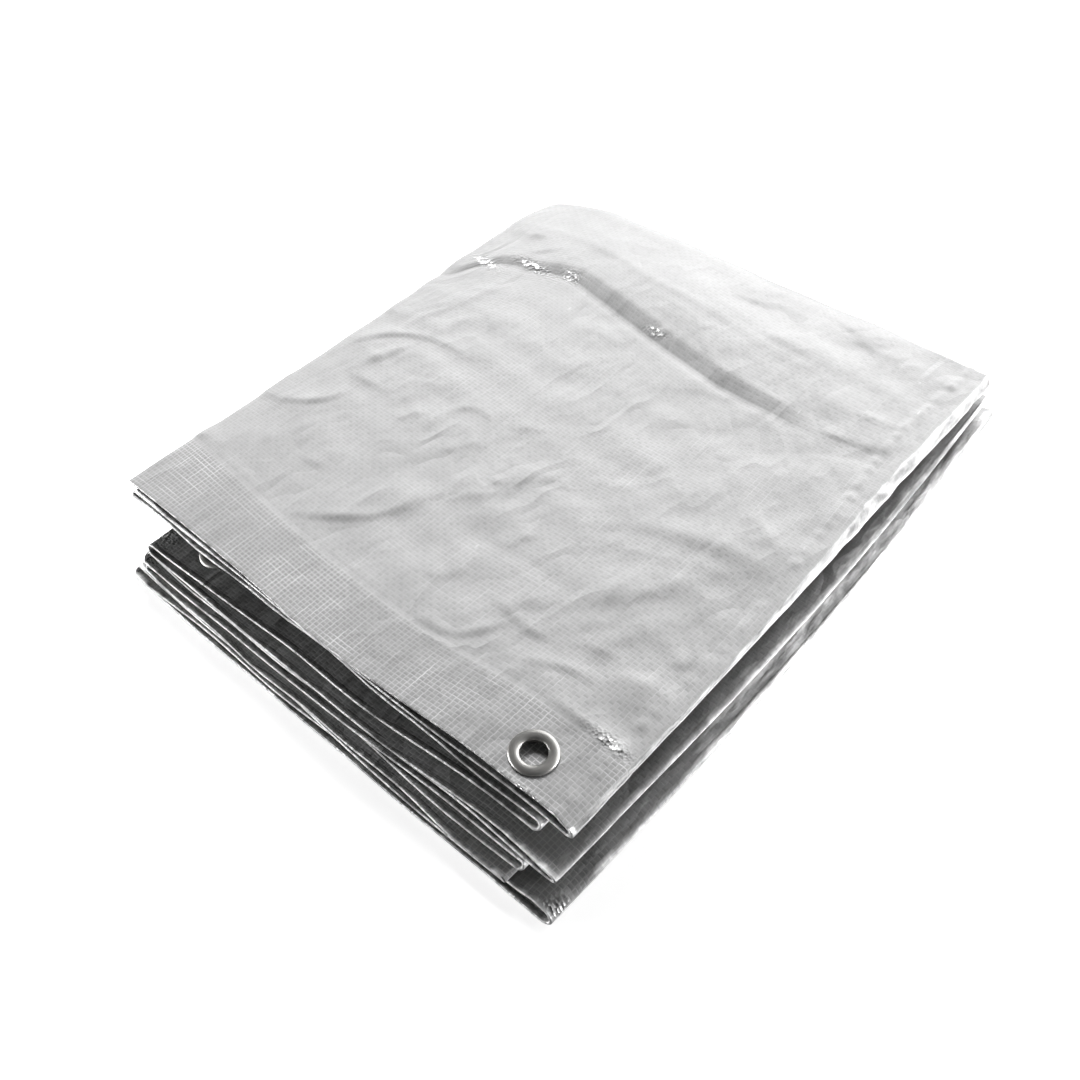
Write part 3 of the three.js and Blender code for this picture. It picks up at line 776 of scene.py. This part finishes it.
def woven_polyethylene(settings):
    """Flat tapes of polyethylene, woven one over one and laminated with a silver film.

    The film gives a broad half-metal gloss, and the tapes a fine pattern of squares with pale edges, each
    lying a little askew. Some tapes are creased along their length and show as pale lines. Painted highlights
    lighten the film at the hems' edges, the crests of the folds and the turns, and painted glints sparkle
    where it is crumpled. The doubled hem lets less light through and looks darker.
    """
    material, tree = new_material("woven polyethylene, silver laminated")
    place = add_node(tree, "ShaderNodeUVMap", {}, uv_map="weave")
    along_axes = add_node(tree, "ShaderNodeSeparateXYZ", {0: place}).node.outputs
    hem = add_node(tree, RANGE, {"Value": along_axes[1], 1: HEM_END[0], 2: HEM_END[1], 3: 1.0, 4: 0.0})
    numbers, edges, pillows = [], [], []
    # Pitch of the tapes, and how pale an edge of one gets
    for axis, pitch, paleness in ((0, settings.warp_pitch, 1.2), (1, settings.weft_pitch, 1.1)):
        count = add_node(tree, MATH, {0: along_axes[axis], 1: pitch}, operation="DIVIDE")
        numbers.append(add_node(tree, MATH, {0: count}, operation="FLOOR"))
        from_edge = add_node(tree, MATH, {0: count, 1: 0.5}, operation="PINGPONG")
        edge = add_node(tree, RANGE, {"Value": from_edge, 1: 0.03, 2: 0.2, 3: 1.0, 4: 0.0},
                        interpolation_type="SMOOTHSTEP")
        # No two tapes show their edges alike, and each comes and goes along its length
        nearest = add_node(tree, MATH, {0: count}, operation="ROUND")
        row = add_node(tree, MATH, {0: nearest, 1: 7.3}, operation="MULTIPLY")
        run = add_node(tree, MATH, {0: along_axes[1 - axis], 1: STRETCH}, operation="DIVIDE")
        spot = add_node(tree, "ShaderNodeCombineXYZ", {0: row, 1: run})
        chance = add_node(tree, NOISE, {"Vector": spot, "Scale": 1.0, "Detail": 1.0}, noise_dimensions="2D")
        strength = add_node(tree, RANGE, {"Value": chance, 1: 0.52, 2: 0.8, 3: 0.55, 4: paleness},
                            interpolation_type="SMOOTHSTEP")
        edges.append(add_node(tree, MATH, {0: edge, 1: strength}, operation="MULTIPLY"))
        pillows.append(add_node(tree, RANGE, {"Value": from_edge, 1: 0.0, 2: 0.45},
                                interpolation_type="SMOOTHSTEP"))
    crossing = add_node(tree, MATH, {0: numbers[0], 1: numbers[1]}, operation="ADD")
    over = add_node(tree, MATH, {0: crossing, 1: 2.0}, operation="FLOORED_MODULO")
    # The tape on top shows its edges and bulges; the one below is nearly hidden
    seen = []
    for edge, low, high in ((edges[0], 0.4, 1.0), (edges[1], 1.0, 0.4)):
        share = add_node(tree, RANGE, {"Value": over, 3: low, 4: high})
        seen.append(add_node(tree, MATH, {0: edge, 1: share}, operation="MULTIPLY"))
    tapes = add_node(tree, MATH, {0: seen[0], 1: seen[1]}, operation="MAXIMUM")
    pillow = add_node(tree, "ShaderNodeMix", {0: over, 2: pillows[1], 3: pillows[0]})
    # The bend map carries the painted highlights and the crumpled places
    bend = add_node(tree, "ShaderNodeUVMap", {}, uv_map="bend")
    painted_highlight, crumple = add_node(tree, "ShaderNodeSeparateXYZ", {0: bend}).node.outputs[:2]
    # The painted highlights break up into streaks along the folds
    drawn_out = add_node(tree, VECTOR, {0: place, 1: (1 / STREAK[0], 1 / STREAK[1], 1)}, operation="MULTIPLY")
    streak = add_node(tree, NOISE, {"Vector": drawn_out, "Scale": 1.0, "Detail": 3.0})
    dents = add_node(tree, MATH, {0: streak, 1: painted_highlight}, operation="MULTIPLY")
    painted_highlight = add_node(tree, MATH, {0: streak, 1: 1.2, 2: painted_highlight}, operation="MULTIPLY_ADD")
    painted_highlight = add_node(tree, RANGE, {"Value": painted_highlight, 1: 0.85, 2: 1.5})
    # In the crumpled places single facets catch the light
    glints = add_node(tree, "ShaderNodeTexVoronoi", {"Vector": place, "Scale": 1 / GLINT}).node.outputs
    lucky = add_node(tree, "ShaderNodeSeparateXYZ", {0: glints["Color"]})
    glint = add_node(tree, MATH, {0: lucky, 1: crumple}, operation="MULTIPLY")
    glint = add_node(tree, RANGE, {"Value": glint, 1: 0.5, 2: 0.65})
    painted_highlight = add_node(tree, MATH, {0: painted_highlight, 1: glint}, operation="MAXIMUM")
    # The weave shows most at the hem, comes and goes in patches, and fades towards the back
    marks = add_node(tree, MATH, {0: hem, 1: HEM_CONTRAST, 2: WEAVE_CONTRAST}, operation="MULTIPLY_ADD")
    patches = add_node(tree, NOISE, {"Vector": place, "Scale": 1 / PATCH, "Detail": 2.0})
    patches = add_node(tree, RANGE, {"Value": patches, 1: 0.35, 2: 0.65, 3: 0.5, 4: 1.5})
    fade = add_node(tree, RANGE, {"Value": along_axes[1], 1: 0.2, 2: 0.32, 3: 1.0, 4: 0.4})
    for share in (patches, fade, tapes):
        marks = add_node(tree, MATH, {0: marks, 1: share}, operation="MULTIPLY")
    # The painted highlights show over the weave's marks
    marks = add_node(tree, MATH, {0: painted_highlight, 1: marks}, operation="MAXIMUM", use_clamp=True)
    # The film clouds over some centimetres, each crossing takes the pigment a little differently, warp
    # and weft face the light differently, and the hem is darker
    cell = add_node(tree, "ShaderNodeCombineXYZ", {0: numbers[0], 1: numbers[1]})
    chances = add_node(tree, "ShaderNodeTexWhiteNoise", {"Vector": cell}, noise_dimensions="2D").node.outputs
    cloud = add_node(tree, NOISE, {"Vector": place, "Scale": 1 / CLOUD, "Detail": 3.0})
    shade, rough = 0.86, 0.42
    for cause, share in ((cloud, 0.12), (chances["Value"], 0.07), (over, 0.03), (hem, -HEM_SHADE)):
        shade = add_node(tree, MATH, {0: cause, 1: share, 2: shade}, operation="MULTIPLY_ADD")
    for cause, share in ((cloud, 0.10), (crumple, -0.25)):
        rough = add_node(tree, MATH, {0: cause, 1: share, 2: rough}, operation="MULTIPLY_ADD")
    film = add_node(tree, VECTOR, {0: tuple(settings.silver), "Scale": shade}, operation="SCALE")
    # The weave's marks, the painted highlights and the painted glints go towards the pale colour
    tint = add_node(tree, "ShaderNodeMix", {0: marks, 6: film, 7: (*settings.tape_edge_and_highlight_white, 1)},
                    data_type="RGBA")
    # The film has set in flat facets between straight creases, drawn out aslant
    aslant = add_node(tree, "ShaderNodeMapping", {0: place, "Rotation": (0, 0, FACET_TURN),
                                                  "Scale": (1 / FACET[0], 1 / FACET[1], 1)})
    slopes = add_node(tree, NOISE, {"Vector": aslant, "Scale": 1.0, "Detail": 2.0})
    slopes = add_node(tree, MATH, {0: slopes, 1: 5.0}, operation="MULTIPLY")
    slopes = add_node(tree, MATH, {0: slopes, 1: 0.5}, operation="PINGPONG")
    amount = add_node(tree, RANGE, {"Value": patches, 1: 0.5, 2: 1.5, 3: 1.0, 4: 0.3})
    slopes = add_node(tree, MATH, {0: slopes, 1: amount}, operation="MULTIPLY")
    # Its own fine crinkle, those facets, the dents along the streaks of the painted highlights, the facets of
    # the crumpled ones, and the pillows of the weave
    crinkle = add_node(tree, NOISE, {"Vector": place, "Scale": 1 / CRINKLE, "Detail": 4.0})
    facets = add_node(tree, MATH, {0: glints["Distance"], 1: crumple}, operation="MULTIPLY")
    normal = add_node(tree, BUMP, {"Height": crinkle, "Distance": 0.5 * MM, "Strength": 0.14})
    for relief, height in ((slopes, 1.0), (dents, 1.6), (facets, 0.8)):
        normal = add_node(tree, BUMP, {"Height": relief, "Distance": height * MM, "Normal": normal})
    normal = add_node(tree, BUMP, {"Height": pillow, "Distance": 0.1 * MM, "Strength": 0.4, "Normal": normal})
    # Each crossing lies a little askew
    askew = add_node(tree, VECTOR, {0: chances["Color"], 1: (0.5, 0.5, 0.5)}, operation="SUBTRACT")
    askew = add_node(tree, VECTOR, {0: askew, "Scale": 0.05}, operation="SCALE")
    normal = add_node(tree, VECTOR, {0: normal, 1: askew}, operation="ADD")
    normal = add_node(tree, VECTOR, {0: normal}, operation="NORMALIZE")
    shader = add_node(tree, "ShaderNodeBsdfPrincipled", {
        "Base Color": tint, "Roughness": rough, "Normal": normal, "Metallic": 0.15, "IOR": 1.51,
    })
    add_node(tree, "ShaderNodeOutputMaterial", {"Surface": shader})
    return material


def pressed_aluminium(settings):
    """Aluminium strip, pressed and polished: satin, a little warm, with fine rings from the press."""
    material, tree = new_material("aluminium, pressed and polished")
    place = add_node(tree, "ShaderNodeUVMap", {}, uv_map="ring")
    # The press rings run round the rim, so the pattern is stretched along it
    ring_gap, ring_run, wear_size = 0.3 * MM, 50 / 3 * MM, 4 * MM
    stretch = add_node(tree, "ShaderNodeMapping", {0: place, "Scale": (1 / ring_run, 1 / ring_gap, 1)})
    rings = add_node(tree, NOISE, {"Vector": stretch, "Scale": 1.0, "Detail": 2.0})
    wear = add_node(tree, NOISE, {"Vector": place, "Scale": 1 / wear_size, "Detail": 3.0})
    shade = add_node(tree, MATH, {0: wear, 1: 0.16, 2: 0.88}, operation="MULTIPLY_ADD")
    base = add_node(tree, VECTOR, {0: tuple(settings.metal), "Scale": shade}, operation="SCALE")
    rough = 0.3
    for cause in (rings, wear):
        rough = add_node(tree, MATH, {0: cause, 1: 0.10, 2: rough}, operation="MULTIPLY_ADD")
    bump = add_node(tree, BUMP, {"Height": rings, "Distance": 0.02 * MM, "Strength": 0.5})
    shader = add_node(tree, "ShaderNodeBsdfPrincipled", {
        "Base Color": base, "Roughness": rough, "Normal": bump, "Metallic": 0.92,
    })
    add_node(tree, "ShaderNodeOutputMaterial", {"Surface": shader})
    return material


def opal_table(settings):
    """Opal acrylic sheet of a light table, matt, lit a little from below so that shadows stay pale."""
    material, tree = new_material("opal acrylic, matt")
    # Faint clouds: the pattern's scale is how many of them span the floor
    cloud_size = 4800 * MM
    clouds = add_node(tree, NOISE, {"Scale": 2 * STAGE_REACH / cloud_size, "Detail": 2.0})
    shade = add_node(tree, MATH, {0: clouds, 1: 0.02, 2: 0.98}, operation="MULTIPLY_ADD")
    base = add_node(tree, VECTOR, {0: tuple(settings.floor), "Scale": shade}, operation="SCALE")
    shader = add_node(tree, "ShaderNodeBsdfPrincipled", {
        "Base Color": base, "Roughness": 0.9, "Emission Color": (1, 1, 1, 1),
        "Emission Strength": settings.glow,
    })
    add_node(tree, "ShaderNodeOutputMaterial", {"Surface": shader})
    return material


# Operators

class TARP_OT_sheet(bpy.types.Operator):
    """Builds the folded sheet as one closed cloth with its creases and eyelet holes"""

    bl_idname = "tarp.sheet"
    bl_label = "Folded Sheet"

    def execute(self, context):
        settings = context.scene.tarp_sheet
        built = build_sheet(settings)
        material = woven_polyethylene(settings)
        piece = new_piece("tarp_cloth", built.points, built.faces, material, built.maps)
        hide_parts("tarp_sheet", "hem_strip_top", "hem_strip_lower")
        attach(piece, "root")
        return {"FINISHED"}


def ring_profile(settings):
    """Radius and height round the eyelet's section: lip, rolled rim, throat, and the washer below."""
    rim, hole, height = settings.rim_radius / MM, settings.hole_radius / MM, settings.rim_height / MM
    # Heights of the hem's upper face and of the washer's seat just under it, from the hem's middle
    seat, under = 0.75, -0.85
    lip = [(rim - 0.4, seat), (rim, seat + 0.08), (rim, seat + 0.24)]
    middle, half = (rim + hole) / 2, (rim - hole) / 2
    crown = [(middle + half * math.cos(a), seat + 0.3 + (height - 0.3) * math.sin(a))
             for a in np.linspace(0.08 * math.pi, math.pi, 18)]
    throat = [(hole, seat), (hole, under), (hole + 0.3, under - 0.6)]
    washer = [(hole + 1.2, under - 0.75), (rim - 1.2, under - 0.6), (rim - 0.8, under - 0.3),
              (rim - 1.2, under)]
    barrel = [(hole + 0.9, under), (hole + 0.9, seat)]
    return np.array(lip + crown + throat + washer + barrel)


class TARP_OT_eyelets(bpy.types.Operator):
    """Builds the pressed metal eyelets in their hems"""

    bl_idname = "tarp.eyelets"
    bl_label = "Eyelets"

    def execute(self, context):
        settings = context.scene.tarp_eyelet
        material = pressed_aluminium(settings)
        profile = ring_profile(settings)
        lengths = np.concatenate([[0], np.cumsum(np.linalg.norm(np.diff(profile, axis=0), axis=1))])
        for name, (layer, x, y) in EYELETS.items():
            centre, tilt = eyelet_seat(layer, x, y)
            points, ring = [], []
            for i in range(settings.sides):
                angle = 2 * math.pi * i / settings.sides
                for (radius, height), length in zip(profile, lengths):
                    local = Vector((radius * math.cos(angle), radius * math.sin(angle), height))
                    points.append(tuple(centre + tilt @ local))
                    ring.append((angle * settings.rim_radius, length * MM))
            count = len(profile)
            faces = []
            for i in range(settings.sides):
                a, b = i * count, (i + 1) % settings.sides * count
                faces += [(a + j, b + j, b + (j + 1) % count, a + (j + 1) % count) for j in range(count)]
            piece = new_piece(f"eyelet_ring_{name}", points, faces, material, {"ring": ring})
            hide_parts(f"eyelet_{name}")
            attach(piece, "root")
        return {"FINISHED"}


def eyelet_seat(layer, x, y):
    """The place on a hem where an eyelet sits, and the turn to the hem's own slope."""
    reach = 9.0
    spots = np.array([(0, 0), (reach, 0), (-reach, 0), (0, reach), (0, -reach)]) + (x, y)
    if layer == TOP:
        heights = top_height(spots[:, 0], spots[:, 1])
    else:
        left, right = run_of(layer, 0.05)
        front, back = LAYERS[layer, [0, 2]]
        s = (spots[:, 0] - left) / (right - left)
        heights = lower_layer(layer, s, (spots[:, 1] - front) / (back - front), 0.0)[:, 2]
    slope = Vector((heights[2] - heights[1], heights[4] - heights[3], 2 * reach))
    turn = Vector((0, 0, 1)).rotation_difference(slope).to_matrix()
    return Vector((x, y, float(heights.mean()))), turn


class TARP_OT_stage(bpy.types.Operator):
    """Builds the floor, the lights and the camera"""

    bl_idname = "tarp.stage"
    bl_label = "Stage"

    def execute(self, context):
        settings = context.scene.tarp_stage
        table = opal_table(settings)
        sides, wall_height = 48, 5.0
        ring = [(STAGE_REACH * math.cos(turn), STAGE_REACH * math.sin(turn))
                for turn in np.linspace(0, 2 * math.pi, sides, endpoint=False)]
        self.stage_piece(context, "floor", [(x, y, 0) for x, y in ring], [range(sides)], table)
        wall = [(x, y, z) for z in (0, wall_height) for x, y in ring]
        faces = [(i, (i + 1) % sides, (i + 1) % sides + sides, i + sides) for i in range(sides)]
        self.stage_piece(context, "backdrop", wall, faces, table).visible_shadow = False
        # name, power, width, height, place in metres, what it is aimed at, and whether it shows in gloss
        pack, turns = Vector((0, 0, 0)), Vector((0.165, 0.14, 0.01))
        lights = (
            ("top light", settings.top_power, 0.6, 0.6, (-1.0, 0.95, 1.08), pack, False),
            ("back light", settings.back_power, 2.2, 1.0, (0.2, 1.25, 0.6), pack, True),
            ("side light", settings.side_power, 0.3, 0.06, (0.62, 0.24, 0.035), turns, True),
            ("front light", settings.front_power, 1.0, 0.3, (-1.05, -1.05, 0.2), pack, True),
        )
        for name, power, width, height, place, aim, glossy in lights:
            data = bpy.data.lights.new(name, "AREA")
            data.shape = "RECTANGLE"
            data.energy, data.size, data.size_y = power, width, height
            lamp = bpy.data.objects.new(name, data)
            lamp.location = place
            lamp.rotation_euler = (aim - Vector(place)).to_track_quat("-Z", "Y").to_euler()
            lamp.visible_glossy = glossy
            context.scene.collection.objects.link(lamp)
        world = bpy.data.worlds.new("surroundings")
        world.use_nodes = True
        world.node_tree.nodes["Background"].inputs[0].default_value = (*settings.sky, 1)
        context.scene.world = world
        context.scene.view_settings.view_transform = "Standard"
        context.scene.camera = self.camera(context, settings)
        return {"FINISHED"}

    def stage_piece(self, context, name, points, faces, material):
        """A piece of the stage that the pack doesn't mirror, which leaves its gaps and turns dark."""
        mesh = bpy.data.meshes.new(name)
        mesh.from_pydata(points, [], faces)
        mesh.materials.append(material)
        piece = bpy.data.objects.new(name, mesh)
        piece.visible_diffuse = piece.visible_glossy = False
        context.scene.collection.objects.link(piece)
        return piece

    def camera(self, context, settings):
        """The camera, at the photograph's angle, aimed at a point of the pack's floor."""
        target = Vector((CORNER + CAMERA_TARGET) * MM)
        azimuth, elevation = settings.azimuth, settings.elevation
        back = Vector((math.sin(azimuth) * math.cos(elevation), -math.cos(azimuth) * math.cos(elevation),
                       math.sin(elevation)))
        right = (-back).cross(Vector((0, 0, 1))).normalized()
        up = right.cross(-back)
        turn = Matrix((right, up, back)).transposed() @ Matrix.Rotation(settings.roll, 3, "Z")
        data = bpy.data.cameras.new("camera")
        data.lens, data.sensor_width, data.clip_start = settings.lens, 36.0, 0.01
        camera = bpy.data.objects.new("camera", data)
        camera.matrix_world = Matrix.Translation(target + back * settings.distance) @ turn.to_4x4()
        context.scene.collection.objects.link(camera)
        return camera


class TARP_PT_panel(bpy.types.Panel):
    """Lists the sizes, the colours and the pieces"""

    bl_idname = "TARP_PT_panel"
    bl_label = "Folded Tarpaulin"
    bl_space_type = "VIEW_3D"
    bl_region_type = "UI"
    bl_category = "Tarpaulin"

    def draw(self, context):
        for operator, settings in PIECES:
            box = self.layout.box()
            group = getattr(context.scene, settings)
            for name in group.__annotations__:
                box.prop(group, name)
            box.operator(operator)


PIECES = (("tarp.stage", "tarp_stage"), ("tarp.sheet", "tarp_sheet"), ("tarp.eyelets", "tarp_eyelet"))
GROUPS = {"tarp_sheet": TarpSheetSettings, "tarp_eyelet": EyeletSettings, "tarp_stage": StageSettings}
CLASSES = (*GROUPS.values(), TARP_OT_stage, TARP_OT_sheet, TARP_OT_eyelets, TARP_PT_panel)


def register():
    for cls in CLASSES:
        bpy.utils.register_class(cls)
    for name, group in GROUPS.items():
        setattr(bpy.types.Scene, name, PointerProperty(type=group))


def unregister():
    for name in GROUPS:
        delattr(bpy.types.Scene, name)
    for cls in reversed(CLASSES):
        bpy.utils.unregister_class(cls)


def main():
    register()
    bpy.ops.tarp.stage()
    bpy.ops.tarp.sheet()
    bpy.ops.tarp.eyelets()


if __name__ == "__main__":
    main()
